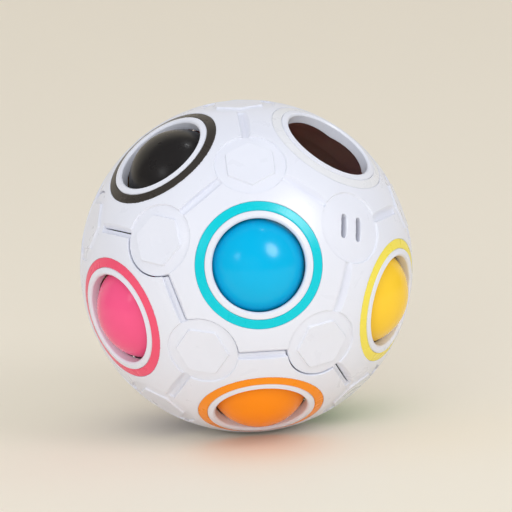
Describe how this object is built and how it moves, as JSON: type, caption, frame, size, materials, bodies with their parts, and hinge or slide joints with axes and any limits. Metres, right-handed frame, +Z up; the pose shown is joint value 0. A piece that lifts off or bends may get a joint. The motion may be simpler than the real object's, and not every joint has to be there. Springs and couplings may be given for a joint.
{
  "type": "sliding ball puzzle",
  "caption": "Round white sliding-ball puzzle with colour-ringed holes, loose coloured balls and one open hole.",
  "frame": {"origin": "centre of the spherical case", "axes": "+Z up through the pad between the black, white-ringed and red holes, opposite the pad that it stands on; -Y is the front, where the blue ball faces; +X is to the right"},
  "size_m": [0.07, 0.0718, 0.0692],
  "materials": {
    "shell": "gloss white moulded plastic",
    "core": "gloss white moulded plastic",
    "ring_white": "gloss moulded plastic",
    "ring_yellow": "gloss moulded plastic",
    "ring_purple": "gloss moulded plastic",
    "ring_red": "gloss moulded plastic",
    "ring_black": "gloss moulded plastic",
    "ring_blue": "gloss moulded plastic",
    "ring_green": "gloss moulded plastic",
    "ring_brown": "gloss moulded plastic",
    "ring_lime": "gloss moulded plastic",
    "ring_pink": "gloss moulded plastic",
    "ring_orange": "gloss moulded plastic",
    "ring_navy": "gloss moulded plastic",
    "ball_yellow": "polished moulded plastic",
    "ball_purple": "polished moulded plastic",
    "ball_red": "polished moulded plastic",
    "ball_black": "polished moulded plastic",
    "ball_blue": "polished moulded plastic",
    "ball_green": "polished moulded plastic",
    "ball_brown": "polished moulded plastic",
    "ball_lime": "polished moulded plastic",
    "ball_pink": "polished moulded plastic",
    "ball_orange": "polished moulded plastic",
    "ball_navy": "polished moulded plastic"
  },
  "bodies": {
    "case": {"shell_upper": "shell", "shell_lower": "shell", "ring_white": "ring_white", "ring_yellow": "ring_yellow", "ring_purple": "ring_purple", "ring_red": "ring_red", "ring_black": "ring_black", "ring_blue": "ring_blue", "ring_green": "ring_green", "ring_brown": "ring_brown", "ring_lime": "ring_lime", "ring_pink": "ring_pink", "ring_orange": "ring_orange", "ring_navy": "ring_navy"},
    "core": {"core": "core"},
    "ball_yellow": {"ball_yellow": "ball_yellow"},
    "ball_purple": {"ball_purple": "ball_purple"},
    "ball_red": {"ball_red": "ball_red"},
    "ball_black": {"ball_black": "ball_black"},
    "ball_blue": {"ball_blue": "ball_blue"},
    "ball_green": {"ball_green": "ball_green"},
    "ball_brown": {"ball_brown": "ball_brown"},
    "ball_lime": {"ball_lime": "ball_lime"},
    "ball_pink": {"ball_pink": "ball_pink"},
    "ball_orange": {"ball_orange": "ball_orange"},
    "ball_navy": {"ball_navy": "ball_navy"}
  },
  "joints": [
    {"name": "core_turn", "type": "hinge", "parent": "case", "child": "core", "pos_m": [0, 0, 0], "axis": [0, 0, 1], "continuous": true},
    {"name": "yellow_press", "type": "slide", "parent": "case", "child": "ball_yellow", "axis": [0.8507, -0.4911, -0.1876], "range_m": [-0.0047, 0]},
    {"name": "purple_press", "type": "slide", "parent": "case", "child": "ball_purple", "axis": [0.8507, 0.4911, 0.1876], "range_m": [-0.0047, 0]},
    {"name": "red_press", "type": "slide", "parent": "case", "child": "ball_red", "axis": [0, 0.6071, 0.7947], "range_m": [-0.0047, 0]},
    {"name": "black_press", "type": "slide", "parent": "case", "child": "ball_black", "axis": [-0.5257, -0.3035, 0.7947], "range_m": [-0.0047, 0]},
    {"name": "blue_roll", "type": "hinge", "parent": "case", "child": "ball_blue", "pos_m": [0.01576, -0.03855, 0.02945], "axis": [0.809, -0.1103, -0.5774], "range_deg": [0, 49.45]},
    {"name": "green_press", "type": "slide", "parent": "case", "child": "ball_green", "axis": [0.5257, 0.3035, -0.7947], "range_m": [-0.0047, 0]},
    {"name": "brown_press", "type": "slide", "parent": "case", "child": "ball_brown", "axis": [0, 0.9822, -0.1876], "range_m": [-0.0047, 0]},
    {"name": "lime_press", "type": "slide", "parent": "case", "child": "ball_lime", "axis": [-0.8507, 0.4911, 0.1876], "range_m": [-0.0047, 0]},
    {"name": "pink_press", "type": "slide", "parent": "case", "child": "ball_pink", "axis": [-0.8507, -0.4911, -0.1876], "range_m": [-0.0047, 0]},
    {"name": "orange_press", "type": "slide", "parent": "case", "child": "ball_orange", "axis": [0, -0.6071, -0.7947], "range_m": [-0.0047, 0]},
    {"name": "navy_press", "type": "slide", "parent": "case", "child": "ball_navy", "axis": [-0.5257, 0.3035, -0.7947], "range_m": [-0.0047, 0]}
  ]
}
